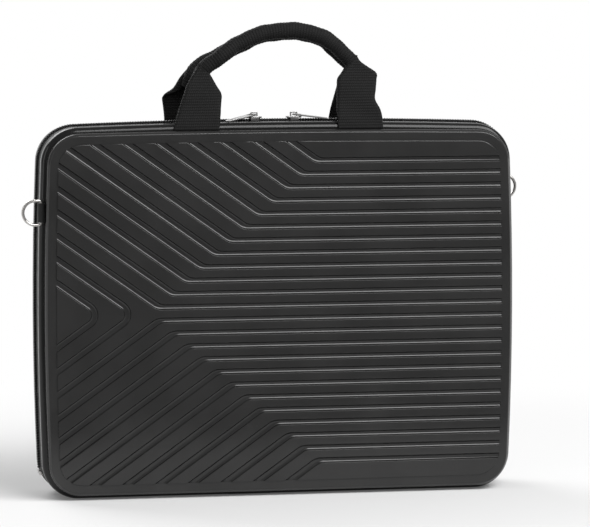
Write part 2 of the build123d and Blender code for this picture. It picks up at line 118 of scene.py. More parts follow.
def pick(piece: bpy.types.Object, part: Part, test: Test) -> None:
    """Select the edges or the faces that pass a test, in edit mode.

    Args:
        piece: The piece in edit mode.
        part: What is picked.
        test: Takes an edge or a face to True where it is wanted.
    """
    bpy.ops.mesh.select_mode(type=part.name)
    bpy.ops.mesh.select_all(action="DESELECT")
    mesh = bmesh.from_edit_mesh(piece.data)
    mesh.normal_update()
    for chosen in [member for member in getattr(mesh, part.value) if test(member)]:
        chosen.select_set(True)
    bmesh.update_edit_mesh(piece.data)


def round_picked(
    piece: bpy.types.Object, width: float, segments: int, test: Test, clamp: bool = False
) -> None:
    """Round the edges that pass a test, in edit mode.

    Args:
        piece: The piece in edit mode.
        width: How far the round reaches from the edge.
        segments: How many faces it has.
        test: Takes an edge to True where it is wanted.
        clamp: Whether a round stops short of its neighbours.
    """
    pick(piece, Part.EDGE, test)
    bpy.ops.mesh.bevel(offset=width, segments=segments, profile=0.5, clamp_overlap=clamp)


def fold_of(edge: Any) -> float:
    """Angle between an edge's two faces in degrees, or 0 on a border."""
    return degrees(edge.calc_face_angle(0.0)) if len(edge.link_faces) == 2 else 0.0


def lies_at(edge: Any, level: float) -> bool:
    """Tell whether both ends of an edge lie at a distance from the middle plane."""
    return all(abs(abs(vertex.co.y) - level) < PLACE for vertex in edge.verts)


def modify(piece: bpy.types.Object, kind: str, **settings: Any) -> None:
    """Add a modifier and apply it.

    Args:
        piece: The piece to change.
        kind: The modifier's type.
        settings: The modifier's own settings.
    """
    activate(piece)
    bpy.ops.object.modifier_add(type=kind)
    modifier = piece.modifiers[-1]
    for name, value in settings.items():
        setattr(modifier, name, value)
    bpy.ops.object.modifier_apply(modifier=modifier.name)


def soften(piece: bpy.types.Object, width: float, segments: int, angle: float) -> None:
    """Round all edges of a piece that fold more than an angle.

    Args:
        piece: The piece.
        width: How far the round reaches from the edge.
        segments: How many faces it has.
        angle: The least fold that is rounded, in degrees.
    """
    modify(
        piece, "BEVEL", width=width, segments=segments, limit_method="ANGLE",
        angle_limit=radians(angle), use_clamp_overlap=True,
    )


def smooth(piece: bpy.types.Object, angle: float) -> None:
    """Shade a piece smooth where it folds less than an angle in degrees."""
    activate(piece)
    bpy.ops.object.shade_smooth_by_angle(angle=radians(angle))


def new_piece(name: str, mesh: bpy.types.Mesh) -> bpy.types.Object:
    """Link a mesh to the scene as a piece of its own."""
    piece = bpy.data.objects.new(name, mesh)
    bpy.context.scene.collection.objects.link(piece)
    return piece


def copied_node(node: str, name: str) -> bpy.types.Object:
    """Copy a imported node's mesh into a clean piece with flat faces.

    Args:
        node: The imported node.
        name: The new piece's name.

    Returns:
        The new piece, merged and dissolved to its real faces.
    """
    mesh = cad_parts[node].data.copy()
    mesh.materials.clear()
    piece = new_piece(name, mesh)
    activate(piece)
    if mesh.has_custom_normals:
        bpy.ops.mesh.customdata_custom_splitnormals_clear()
    with editing(piece):
        pick_all()
        bpy.ops.mesh.remove_doubles(threshold=0.000002)
        bpy.ops.mesh.dissolve_limited(angle_limit=radians(0.25))
    return piece


def joined(pieces: Sequence[bpy.types.Object], name: str) -> bpy.types.Object:
    """Join pieces into the first one.

    Args:
        pieces: The pieces, all at the origin.
        name: Name of the result.

    Returns:
        The joined piece.
    """
    activate(pieces[0])
    for piece in pieces[1:]:
        piece.select_set(True)
    bpy.ops.object.join()
    pieces[0].name = name
    return pieces[0]


def settle(piece: bpy.types.Object) -> None:
    """Put a primitive's place, turn and scale into its mesh."""
    activate(piece)
    bpy.ops.object.transform_apply(location=True, rotation=True, scale=True)


def fit_out(
    piece: bpy.types.Object,
    finish: "Finish",
    body: str,
    nodes: Sequence[str] = (),
) -> bpy.types.Object:
    """Give a finished mesh its finish, its body and the nodes that it stands for.

    Args:
        piece: The piece.
        finish: What it is made of.
        body: The body that it rides on.
        nodes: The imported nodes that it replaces.

    Returns:
        The same piece.
    """
    piece.data.materials.clear()
    piece.data.materials.append(finish.material())
    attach(piece, body)
    if nodes:
        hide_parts(*nodes)
    LOG.info("%s: %d faces on %s", piece.name, len(piece.data.polygons), body)
    return piece


def fit_both_halves(
    front: bpy.types.Object, finish: "Finish", node: str
) -> tuple[bpy.types.Object, bpy.types.Object]:
    """Fit out a front piece and a copy of it turned half round for the rear.

    Args:
        front: The front piece, whose name starts with "front".
        finish: What both are made of.
        node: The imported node's name without its half.

    Returns:
        The front and the rear piece.
    """
    mesh = front.data.copy()
    mesh.transform(HALF_TURN)
    rear = new_piece(front.name.replace("front", "rear"), mesh)
    for piece, half in ((front, "front"), (rear, "rear")):
        fit_out(piece, finish, f"{half}_half", [f"{half}_{node}"])
    return front, rear


# ---------------------------------------------------------------- shader expressions
class Value:
    """A number that varies over a surface, whose arithmetic adds Math nodes."""

    def __init__(self, nodes: "Nodes", socket: bpy.types.NodeSocket) -> None:
        """Wrap a socket of a node tree."""
        self.nodes = nodes
        self.socket = socket

    def _math(self, operation: str, first: Any, second: Any = 0.0) -> "Value":
        """Add one Math node to the tree and return its result."""
        node = self.nodes.node("ShaderNodeMath", {"operation": operation}, {0: first, 1: second})
        return Value(self.nodes, node.outputs[0])

    def __add__(self, other: Any) -> "Value":
        """Add."""
        return self._math("ADD", self, other)

    __radd__ = __add__

    def __sub__(self, other: Any) -> "Value":
        """Subtract."""
        return self._math("SUBTRACT", self, other)

    def __rsub__(self, other: Any) -> "Value":
        """Subtract from a number."""
        return self._math("SUBTRACT", other, self)

    def __mul__(self, other: Any) -> "Value":
        """Multiply."""
        return self._math("MULTIPLY", self, other)

    __rmul__ = __mul__

    def __pow__(self, other: Any) -> "Value":
        """Raise to a power."""
        return self._math("POWER", self, other)

    def __rpow__(self, other: Any) -> "Value":
        """Raise a number to this power."""
        return self._math("POWER", other, self)

    def sine(self) -> "Value":
        """Take the sine."""
        return self._math("SINE", self)

    def ramp(self, low: float, high: float) -> "Value":
        """Rise smoothly from 0 at low to 1 at high.

        Args:
            low: Where the result is 0.
            high: Where the result is 1.

        Returns:
            The stepped value.
        """
        settings = {"interpolation_type": "SMOOTHSTEP"}
        inputs = {"Value": self, "From Min": low, "From Max": high}
        return Value(self.nodes, self.nodes.node("ShaderNodeMapRange", settings, inputs).outputs[0])


class Nodes:
    """A node tree, whose nodes all come from one method."""

    def __init__(self, tree: bpy.types.NodeTree) -> None:
        """Start with an empty tree."""
        self.tree = tree
        tree.nodes.clear()

    def node(self, kind: str, settings: dict[str, Any], inputs: dict[Any, Any]) -> bpy.types.Node:
        """Add a node.

        Args:
            kind: The node's type.
            settings: Its own settings, which are set first.
            inputs: Values or links for its sockets, by name or number.

        Returns:
            The node.
        """
        made = self.tree.nodes.new(kind)
        for name, value in settings.items():
            setattr(made, name, value)
        for key, value in inputs.items():
            self.feed(made.inputs[key], value)
        return made

    def feed(self, socket: bpy.types.NodeSocket, value: Any) -> None:
        """Link a value to a socket, or set the socket where it is a plain number or colour."""
        if isinstance(value, Value):
            self.tree.links.new(value.socket, socket)
        elif isinstance(value, bpy.types.NodeSocket):
            self.tree.links.new(value, socket)
        else:
            socket.default_value = value

    def light_seen_by(self, *rays: str) -> Value:
        """Give 1 where the light path is one of some kinds, and 0 elsewhere."""
        path = self.node("ShaderNodeLightPath", {}, {})
        return sum(Value(self, path.outputs[f"Is {ray} Ray"]) for ray in rays).ramp(0.0, 1.0)


class Graph(Nodes):
    """The node tree of one material, built round a Principled shader."""

    def __init__(self, name: str) -> None:
        """Start a material with its shader and output."""
        self.material = bpy.data.materials.new(name)
        self.material.use_nodes = True
        super().__init__(self.material.node_tree)
        self.shader = self.node("ShaderNodeBsdfPrincipled", {}, {})
        surface = {"Surface": self.shader.outputs[0]}
        self.output = self.node("ShaderNodeOutputMaterial", {}, surface)

    def place(self) -> bpy.types.NodeSocket:
        """Give the surface's own coordinates in metres."""
        return self.node("ShaderNodeTexCoord", {}, {}).outputs["Object"]

    def axes(self) -> tuple[Value, Value, Value]:
        """Give the surface's coordinates one by one."""
        parts = self.node("ShaderNodeSeparateXYZ", {}, {0: self.place()})
        return tuple(Value(self, output) for output in parts.outputs)

    def weave_map(self) -> tuple[Value, Value]:
        """Give the piece's own map, across and along the cloth, in metres."""
        mapped = self.node("ShaderNodeUVMap", {"uv_map": WEAVE_MAP}, {})
        parts = self.node("ShaderNodeSeparateXYZ", {}, {0: mapped.outputs[0]})
        return Value(self, parts.outputs[0]), Value(self, parts.outputs[1])

    def noise(
        self, size: float, detail: float = 3.0, stretch: Sequence[float] = (1, 1, 1)
    ) -> Value:
        """Give cloudy noise from 0 to 1.

        Args:
            size: Size of its clouds in metres.
            detail: How many finer layers it has.
            stretch: Scale along each axis.

        Returns:
            The noise.
        """
        mapping = self.node(
            "ShaderNodeMapping", {}, {"Vector": self.place(), "Scale": tuple(stretch)}
        )
        inputs = {"Vector": mapping.outputs[0], "Scale": 1 / size, "Detail": detail}
        return Value(self, self.node("ShaderNodeTexNoise", {}, inputs).outputs[0])

    def colour(self, first: Sequence[float], second: Sequence[float], share: Any) -> Any:
        """Mix two colours.

        Args:
            first: Colour at a share of 0, or a link.
            second: Colour at a share of 1, or a link.
            share: How much of the second.

        Returns:
            The mixed colour's socket.
        """
        inputs = {0: share, 6: first, 7: second}
        return self.node("ShaderNodeMix", {"data_type": "RGBA"}, inputs).outputs[2]

    def relief(self, height: Value, depth: float) -> None:
        """Bump the surface by a height from 0 to 1, to a depth in metres."""
        bump = self.node("ShaderNodeBump", {}, {"Height": height, "Distance": depth})
        self.feed(self.shader.inputs["Normal"], bump.outputs[0])

    def set(self, **sockets: Any) -> None:
        """Feed the shader's sockets, whose names have underscores for spaces."""
        for name, value in sockets.items():
            self.feed(self.shader.inputs[name.replace("_", " ")], value)


def grey(level: float, warmth: float = 0.0) -> tuple[float, float, float, float]:
    """Give a near-neutral colour.

    Args:
        level: Its linear level.
        warmth: Share by which red goes up and blue goes down.

    Returns:
        The colour.
    """
    return (level * (1 + warmth), level, level * (1 - warmth), 1.0)


# ---------------------------------------------------------------- finishes
@dataclass(frozen=True)
class Finish:
    """What a piece is made of."""

    name: str

    def material(self) -> bpy.types.Material:
        """Give the finish's material, made once."""
        made = bpy.data.materials.get(self.name)
        return made if made else self.make()

    def make(self) -> bpy.types.Material:
        """Build the material."""
        raise NotImplementedError


@dataclass(frozen=True)
class MouldedPlastic(Finish):
    """Charcoal moulded plastic with a fine grain, cloudy and streaky gloss, and pale specks."""

    level: float
    warmth: float
    gloss: Point
    grain: float
    grain_depth: float
    cloud: float = 45.0 * MM
    specular: float = 0.5
    shades: Point = (0.86, 1.18)  # the clouds' darkest and palest share of the level
    streak: float = 6.0 * MM
    streak_stretch: Sequence[float] = (0.25, 1.0, 1.6)
    speck: float = 1.1 * MM
    speck_level: float = 2.4
    speck_share: float = 0.25

    def make(self) -> bpy.types.Material:
        """Build the material."""
        graph = Graph(self.name)
        clouds = graph.noise(self.cloud, 4.0)
        fine = graph.noise(self.grain, 2.0)
        streaks = graph.noise(self.streak, 3.0, self.streak_stretch)
        dark, pale = (grey(self.level * shade, self.warmth) for shade in self.shades)
        base = graph.colour(dark, pale, clouds.ramp(0.3, 0.7))
        specks = graph.noise(self.speck, 1.0).ramp(0.70, 0.78)
        dust = grey(self.level * self.speck_level, self.warmth)
        worn = clouds.ramp(0.25, 0.75) * 0.6 + streaks.ramp(0.35, 0.7) * 0.4
        glossiest, dullest = self.gloss
        graph.set(
            Base_Color=graph.colour(base, dust, specks * self.speck_share),
            Roughness=worn * (dullest - glossiest) + glossiest,
            IOR=1.5,
            Specular_IOR_Level=self.specular,
        )
        graph.relief(fine + clouds * 0.6, self.grain_depth)
        return graph.material


@dataclass(frozen=True)
class Webbing(Finish):
    """Woven polypropylene webbing: warp cords along, weft ribs across, soft sheen, and painted
    shade in the weave's hollows.
    """

    level: float
    rib: float
    cord: float
    depth: float
    lint: float = 1.6 * MM
    wear: float = 28.0 * MM

    def make(self) -> bpy.types.Material:
        """Build the material."""
        graph = Graph(self.name)
        across, along = graph.weave_map()
        ribs = ((along * (2 * pi / self.rib)).sine() + 1.0) * 0.5
        turned = (along * (pi / self.rib)).sine().ramp(-0.2, 0.2)
        cords = ((across * (2 * pi / self.cord) + turned * pi).sine() + 1.0) * 0.5
        weave = ribs * 0.6 + cords * 0.4
        lint = graph.noise(self.lint)
        worn = graph.noise(self.wear).ramp(0.35, 0.75)
        # painted shade: the colour darkens where the weave is low, in the hollows between ribs and
        # cords
        base = graph.colour(grey(self.level * 0.35), grey(self.level), weave.ramp(0.15, 0.8))
        graph.set(
            Base_Color=graph.colour(base, grey(self.level * 2.0, 0.04), worn * lint * 0.4),
            Roughness=lint * 0.2 + 0.62,
            Sheen_Weight=0.04,
            Sheen_Roughness=0.4,
            Specular_IOR_Level=0.2,
        )
        graph.relief(weave + lint * 0.35, self.depth)
        return graph.material


@dataclass(frozen=True)
class Cloth(Finish):
    """Plain-woven cloth on the surface's own coordinates, with painted shade in the weave's
    hollows.
    """

    level: float
    thread: float
    depth: float
    warmth: float = 0.0
    sheen: float = 0.15
    lint: float = 2.1 * MM
    fading: float = 50.0 * MM

    def make(self) -> bpy.types.Material:
        """Build the material."""
        graph = Graph(self.name)
        x, y, z = graph.axes()
        turn = 2 * pi / self.thread
        warp = (x * turn).sine() * ((z + y) * turn).sine()
        weave = (warp + 1.0) * 0.5
        lint = graph.noise(self.lint)
        faded = graph.noise(self.fading).ramp(0.3, 0.75)
        dark, plain, pale = (grey(self.level * share, self.warmth) for share in (0.5, 1.0, 1.7))
        # painted shade: the colour darkens to dark where the weave is low, in its hollows; pale is
        # faded fluff
        base = graph.colour(dark, plain, weave.ramp(0.1, 0.9))
        graph.set(
            Base_Color=graph.colour(base, pale, faded * lint * 0.5),
            Roughness=lint * 0.18 + 0.7,
            Sheen_Weight=self.sheen,
            Specular_IOR_Level=0.3,
        )
        graph.relief(weave + lint * 0.4, self.depth)
        return graph.material


@dataclass(frozen=True)
class Plated(Finish):
    """Polished or brushed plated metal with faint scratches and dulled patches."""

    level: float
    warmth: float
    rough: float
    brush: Sequence[float] = (1.0, 1.0, 1.0)
    scratch: float = 0.9 * MM
    scratch_depth: float = 0.02 * MM
    patch: float = 7.0 * MM

    def make(self) -> bpy.types.Material:
        """Build the material."""
        graph = Graph(self.name)
        scratches = graph.noise(self.scratch, 4.0, self.brush)
        patches = graph.noise(self.patch).ramp(0.35, 0.75)
        bright, dulled = (grey(self.level * share, self.warmth) for share in (1.0, 0.72))
        graph.set(
            Base_Color=graph.colour(bright, dulled, patches * 0.5),
            Roughness=scratches * 0.12 + patches * 0.1 + self.rough,
            Metallic=1.0,
        )
        graph.relief(scratches, self.scratch_depth)
        return graph.material


SHELL_PLASTIC = MouldedPlastic(
    "charcoal_shell_plastic", 0.0165, 0.01, (0.15, 0.23), 0.35 * MM, 0.004 * MM
)
RIM_PLASTIC = MouldedPlastic(
    "gloss_rim_plastic", 0.007, 0.0, (0.14, 0.22), 0.6 * MM, 0.004 * MM, specular=0.3
)
COVER_PLASTIC = MouldedPlastic(
    "joint_cover_plastic", 0.009, 0.0, (0.34, 0.5), 0.4 * MM, 0.01 * MM
)
COIL_PLASTIC = MouldedPlastic(
    "zip_coil_plastic", 0.012, 0.0, (0.3, 0.45), 0.3 * MM, 0.004 * MM, cloud=10.0 * MM
)
TAPE_CLOTH = Cloth("zip_tape_cloth", 0.02, 0.6 * MM, 0.06 * MM)
GUSSET_CLOTH = Cloth("gusset_cloth", 0.014, 0.9 * MM, 0.08 * MM)
LINING_CLOTH = Cloth("lining_cloth", 0.045, 1.2 * MM, 0.07 * MM, 0.01, sheen=0.3)
TAB_WEBBING = Cloth("ring_tab_webbing", 0.013, 1.1 * MM, 0.1 * MM)
HANDLE_WEBBING = Webbing("handle_webbing", 0.0075, rib=2.4 * MM, cord=1.6 * MM, depth=0.3 * MM)
STRAP_ELASTIC = Webbing("strap_elastic", 0.02, rib=1.7 * MM, cord=1.2 * MM, depth=0.2 * MM)
CHROME = Plated("zip_chrome", 0.5, 0.01, 0.15)
NICKEL = Plated("ring_nickel", 0.62, 0.03, 0.14)
STOP_STEEL = Plated("stop_steel", 0.5, 0.02, 0.3, brush=(1.0, 0.2, 1.0))


# ---------------------------------------------------------------- the rim's outline
@dataclass(frozen=True)
class RimOutline:
    """The crest of the bead from the right zip end over the top to the left one, metres."""

    half_width: float = 203.0 * MM
    bottom: float = -0.3 * MM
    top: float = 313.9 * MM
    side_bow: float = 4.0 * MM
    top_bow: float = 4.0 * MM
    corner: float = 31.0 * MM
    zip_end: float = 22.0 * MM

    def arcs(self) -> list[tuple[Point, float, float, float]]:
        """Give the outline's arcs: centre, radius, first and last angle."""
        shoulder = self.top - self.top_bow
        middle = (shoulder + self.bottom) / 2
        half_chord = (shoulder - self.bottom) / 2
        side = (half_chord**2 + self.side_bow**2) / (2 * self.side_bow)
        chord = self.half_width - self.side_bow
        arch = (chord**2 + self.top_bow**2) / (2 * self.top_bow)
        side_centre = (self.half_width - side, middle)
        arch_centre = (0.0, self.top - arch)
        bend = self.meeting(side_centre, side - self.corner, arch_centre, arch - self.corner)
        start = asin((self.zip_end - middle) / side)
        low = atan2(bend[1] - side_centre[1], bend[0] - side_centre[0])
        high = atan2(bend[1] - arch_centre[1], bend[0] - arch_centre[0])
        right = [(side_centre, side, start, low), (bend, self.corner, low, high)]
        over = [(arch_centre, arch, high, pi - high)]
        left = [((-c[0], c[1]), r, pi - last, pi - first) for c, r, first, last in reversed(right)]
        return right + over + left

    @staticmethod
    def meeting(first: Point, first_radius: float, second: Point, second_radius: float) -> Point:
        """Give the upper right crossing of two circles."""
        gap = hypot(second[0] - first[0], second[1] - first[1])
        along = (gap**2 + first_radius**2 - second_radius**2) / (2 * gap)
        off = sqrt(first_radius**2 - along**2)
        ux, uz = (second[0] - first[0]) / gap, (second[1] - first[1]) / gap
        base = (first[0] + ux * along, first[1] + uz * along)
        both = [(base[0] - uz * off, base[1] + ux * off), (base[0] + uz * off, base[1] - ux * off)]
        return max(both, key=lambda point: point[0] + point[1])

    def length(self) -> float:
        """Give the outline's length."""
        return sum(radius * (last - first) for _, radius, first, last in self.arcs())

    def frame_at(self, distance: float) -> tuple[Vector, Vector, Vector]:
        """Give the crest's place, direction and outward normal at a distance along it.

        Args:
            distance: How far along, from the right zip end.

        Returns:
            Place, direction and normal, all with y = 0.
        """
        arcs = self.arcs()
        for centre, radius, first, last in arcs:
            if distance <= radius * (last - first) or (centre, radius, first, last) == arcs[-1]:
                angle = first + distance / radius
                break
            distance -= radius * (last - first)
        normal = Vector((cos(angle), 0.0, sin(angle)))
        place = Vector((centre[0], 0.0, centre[1])) + normal * radius
        return place, Vector((-normal.z, 0.0, normal.x)), normal


# ---------------------------------------------------------------- sub-assemblies
@dataclass(frozen=True)
class MouldedShells:
    """The two dished shells with their grooved fields."""

    land_y: float = 37.1 * MM
    floor_y: float = 35.2 * MM
    outer_roll: Point = (30.876 * MM, 33.4 * MM)  # where a flat of the roll lies, and is drawn to
    inner_roll: Point = (34.124 * MM, 35.95 * MM)
    wall_folds: Point = (45.0, 65.0)  # the grooves' drafted walls, degrees
    sheer_folds: Point = (75.0, 100.0)  # the field's outer wall
    roll_fold: float = 25.0
    lip: float = 0.2 * MM
    field_edge: float = 0.8 * MM
    foot_round: float = 1.15 * MM
    roll_round: float = 0.5 * MM
    short: float = 0.1 * MM
    cut_every: float = 22.0 * MM
    cuts: int = 8
    smooth_to: float = 40.0

    def build(self) -> None:
        """Make the front shell, and turn a copy of it for the rear."""
        front = copied_node("front_shell", "front_moulded_shell")
        with editing(front):
            pick_all()
            bpy.ops.mesh.dissolve_degenerate(threshold=self.short)
            self.round_field(front)
            self.tighten_roll(front)
            self.cut_across()
        smooth(front, self.smooth_to)
        modify(front, "WEIGHTED_NORMAL", keep_sharp=True, weight=60)
        fit_both_halves(front, SHELL_PLASTIC, "shell")

    def round_field(self, piece: bpy.types.Object) -> None:
        """Round the grooves' feet, their lips a little, and the field's outer edge well."""
        for level, (low, high), width, segments in (
            (self.floor_y, self.wall_folds, self.foot_round, 4),
            (self.land_y, self.wall_folds, self.lip, 2),
            (self.land_y, self.sheer_folds, self.field_edge, 4),
        ):
            round_picked(
                piece, width, segments, lambda e: lies_at(e, level) and low < fold_of(e) < high
            )

    def tighten_roll(self, piece: bpy.types.Object) -> None:
        """Draw the flats of the roll forward, for a level border, and round them."""
        for level, wanted in (self.inner_roll, self.outer_roll):
            pick(piece, Part.EDGE, lambda edge: lies_at(edge, level))
            bpy.ops.transform.translate(value=(0, level - wanted, 0))
        levels = (self.inner_roll[1], self.outer_roll[1])
        round_picked(
            piece, self.roll_round, 3,
            lambda e: fold_of(e) > self.roll_fold and any(lies_at(e, at) for at in levels),
            clamp=True,
        )

    def cut_across(self) -> None:
        """Cut the long faces across, so that their shading is local."""
        for step in range(-self.cuts, self.cuts + 1):
            slice_at((step * self.cut_every, 0, 0), (1, 0, 0))


@dataclass(frozen=True)
class BeadRims:
    """The glossy bead frames and the sleeves over their joints."""

    front_y: float = 24.0 * MM
    round_y: float = 19.9 * MM
    bead_folds: Point = (20.0, 40.0)  # between the bead's flats, degrees
    bead_round: float = 1.3 * MM
    cover_fold: float = 60.0
    cover_round: float = 0.25 * MM
    smooth_to: float = 40.0

    def build(self) -> None:
        """Make the front rim and cover, and turn copies of them for the rear."""
        rim = copied_node("front_rim", "front_bead_rim")
        with editing(rim):
            round_picked(rim, self.bead_round, 3, self.on_the_bead, clamp=True)
        smooth(rim, self.smooth_to)
        modify(rim, "WEIGHTED_NORMAL", keep_sharp=True, weight=60)
        fit_both_halves(rim, RIM_PLASTIC, "rim")
        cover = copied_node("front_rim_joint_cover", "front_joint_cover")
        with editing(cover):
            round_picked(
                cover, self.cover_round, 2, lambda e: fold_of(e) > self.cover_fold, clamp=True
            )
        smooth(cover, self.smooth_to)
        fit_both_halves(cover, COVER_PLASTIC, "rim_joint_cover")

    def on_the_bead(self, edge: Any) -> bool:
        """Tell whether an edge lies between two flats of the bead's front round."""
        low, high = self.bead_folds
        return low < fold_of(edge) < high and all(
            self.round_y < abs(vertex.co.y) < self.front_y + PLACE for vertex in edge.verts
        )


@dataclass(frozen=True)
class ZipFastener:
    """Tapes, coils, stops, sliders and pulls."""

    pitch: float = 2.2 * MM
    turn_length: float = 1.25 * MM
    coil_low: float = -0.4 * MM
    coil_high: float = 1.95 * MM
    coil_far: float = 2.7 * MM
    head: float = 0.35 * MM
    head_spread: tuple[float, float, float] = (1.15, 1.0, 0.9)
    head_tip: tuple[float, float, float] = (0.5, 1.0, 0.6)
    tail_inset: float = 0.25 * MM
    tail_bulge: float = 0.125 * MM
    facets: int = 8
    edge: float = 0.22 * MM
    sharp: float = 40.0  # the least fold of the metal parts that is rounded, degrees

    def build(self, outline: RimOutline) -> None:
        """Make the whole zip.

        Args:
            outline: The bead's crest that the zip follows.
        """
        self.tapes()
        for half, phase in (("front", 0.25), ("rear", 0.75)):
            coil = self.coil(outline, f"{half}_coil", phase)
            if half == "rear":
                coil.data.transform(Matrix.Scale(-1, 4, Vector((0, 1, 0))))
                with editing(coil):
                    pick_all()
                    bpy.ops.mesh.flip_normals()
            smooth(coil, 50.0)
            fit_out(coil, COIL_PLASTIC, f"{half}_half", [f"{half}_zip_coil"])
        self.hardware()

    def tapes(self) -> None:
        """Make the two cloth tapes."""
        for half in ("front", "rear"):
            tape = copied_node(f"{half}_zip_tape", f"{half}_tape")
            smooth(tape, 30.0)
            fit_out(tape, TAPE_CLOTH, f"{half}_half", [f"{half}_zip_tape"])

    def coil_turn(self) -> bpy.types.Mesh:
        """Make one turn of the coil: a rounded loop across the seam with a wider head.

        Returns:
            Its mesh, along X, with its outward side at +Z and its head at +Y.
        """
        rise = self.coil_high - self.coil_low
        bpy.ops.mesh.primitive_cylinder_add(
            vertices=self.facets,
            radius=self.turn_length / 2,
            depth=self.coil_far - self.head,
            rotation=(pi / 2, 0, 0),
            location=(0, -(self.coil_far + self.head) / 2, (self.coil_low + self.coil_high) / 2),
        )
        turn = bpy.context.object
        turn.scale = (1.0, rise / self.turn_length, 1.0)
        settle(turn)
        with editing(turn):
            pick(turn, Part.FACE, lambda face: face.normal.y > 0.9)
            for spread in (self.head_spread, self.head_tip):
                step = {"value": (0, self.head, 0)}
                bpy.ops.mesh.extrude_region_move(TRANSFORM_OT_translate=step)
                bpy.ops.transform.resize(value=spread)
            pick(turn, Part.FACE, lambda face: face.normal.y < -0.9)
            bpy.ops.mesh.inset(thickness=self.tail_inset, depth=self.tail_bulge)
        mesh = turn.data
        bpy.data.objects.remove(turn)
        return mesh

    def coil(self, outline: RimOutline, name: str, phase: float) -> bpy.types.Object:
        """Set turns of the coil along the bead's crest.

        Args:
            outline: The crest.
            name: The piece's name.
            phase: Share of the pitch before the first turn.

        Returns:
            The coil of the front half.
        """
        turn = self.coil_turn()
        gathered = bmesh.new()
        for index in range(int(outline.length() / self.pitch)):
            place, along, normal = outline.frame_at((index + phase) * self.pitch)
            turned = Matrix((along, (0, 1, 0), normal)).transposed().to_4x4()
            before = len(gathered.verts)
            gathered.from_mesh(turn)
            gathered.verts.ensure_lookup_table()
            bmesh.ops.transform(
                gathered, matrix=Matrix.Translation(place) @ turned, verts=gathered.verts[before:]
            )
        mesh = bpy.data.meshes.new(name)
        bmesh.ops.recalc_face_normals(gathered, faces=gathered.faces)
        gathered.to_mesh(mesh)
        gathered.free()
        bpy.data.meshes.remove(turn)
        return new_piece(name, mesh)

    def hardware(self) -> None:
        """Round the edges of the metal parts and plate them."""
        for side in ("left", "right"):
            for part in ("slider", "pull"):
                piece = self.rounded(f"{side}_{part}", f"{side}_zip_{part}")
                fit_out(piece, CHROME, f"{side}_{part}", [f"{side}_{part}"])
            stop = self.rounded(f"{side}_zip_stop", f"{side}_end_stop")
            fit_out(stop, STOP_STEEL, "rear_half", [f"{side}_zip_stop"])

    def rounded(self, node: str, name: str) -> bpy.types.Object:
        """Copy a metal node and round its sharp edges."""
        piece = copied_node(node, name)
        soften(piece, self.edge, 2, self.sharp)
        smooth(piece, self.sharp)
        return piece


class Fold(Enum):
    """How a strip of webbing is folded across its width."""

    FLAT = "edges folded flat behind"
    ROUND = "rolled into a grip"


@dataclass(frozen=True)
class Station:
    """One place along a strip of webbing: middle, half width and set-back, millimetres."""

    across: float
    rise: float
    half: float
    back: float = 0.0


@dataclass(frozen=True)
class Strip:
    """A length of the webbing and the way it is folded."""

    fold: Fold
    stations: tuple[Station, ...]


def folded_strip(fold: Fold, *places: tuple[float, ...]) -> Strip:
    """Make a strip from its fold and its stations' numbers."""
    return Strip(fold, tuple(Station(*place) for place in places))


FRONT_STRIPS = (
    folded_strip(
        Fold.FLAT,
        (-70.2, -1.0, 19.0), (-67.9, 10.0, 17.8), (-65.6, 20.0, 16.4), (-63.6, 28.9, 15.2),
        (-64.1, 36.0, 12.0), (-64.0, 44.3, 7.6), (-63.8, 50.5, 3.6), (-64.2, 54.8, 1.0),
    ),
    folded_strip(
        Fold.ROUND,
        (-66.5, 38.0, 5.0, 6.4), (-65.0, 45.0, 6.0, 5.8), (-59.6, 52.3, 6.5, 3.0),
        (-46.0, 62.0, 6.6, 0.0), (-30.5, 72.5, 6.5, 0.0), (-10.0, 80.5, 6.7, 0.0),
        (14.0, 83.0, 6.9, 0.0), (37.0, 78.6, 6.9, 0.0), (51.5, 69.0, 6.6, 0.0),
        (62.8, 58.6, 6.4, 2.6), (69.2, 50.0, 6.0, 5.8), (71.5, 42.0, 5.0, 6.4),
    ),
    folded_strip(
        Fold.FLAT,
        (69.7, -1.0, 19.0), (69.0, 13.2, 18.1), (67.0, 23.5, 15.6), (67.9, 33.0, 15.9),
        (68.6, 40.8, 16.1), (70.4, 45.9, 14.4), (68.6, 51.4, 8.6), (67.0, 56.0, 4.4),
        (67.3, 61.8, 1.0),
    ),
)
REAR_STRIPS = (
    folded_strip(
        Fold.FLAT,
        (-71.0, -1.0, 19.0), (-71.4, 12.0, 17.8), (-72.0, 26.0, 15.4), (-71.8, 36.7, 12.8),
        (-70.0, 45.0, 8.4), (-68.5, 52.0, 3.0), (-68.0, 56.0, 1.0),
    ),
    folded_strip(
        Fold.ROUND,
        (-74.5, 38.0, 5.0, 6.4), (-72.5, 46.0, 6.0, 5.6), (-65.5, 55.2, 6.5, 2.6),
        (-54.0, 66.0, 6.6, 0.0), (-40.0, 76.2, 6.6, 0.0), (-18.2, 80.8, 6.7, 0.0),
        (8.0, 78.6, 6.8, 0.0), (28.5, 69.6, 6.8, 0.0), (45.0, 60.9, 6.8, 0.0),
        (60.0, 52.4, 7.0, 0.8), (68.0, 43.0, 7.4, 4.0), (71.5, 34.0, 6.0, 6.0),
    ),
    folded_strip(
        Fold.FLAT,
        (70.2, -1.0, 19.0), (70.8, 10.0, 18.8), (72.8, 24.9, 18.4), (70.0, 32.7, 12.6),
        (67.5, 42.0, 9.6), (64.5, 50.0, 6.0), (63.0, 56.0, 1.2),
    ),
)


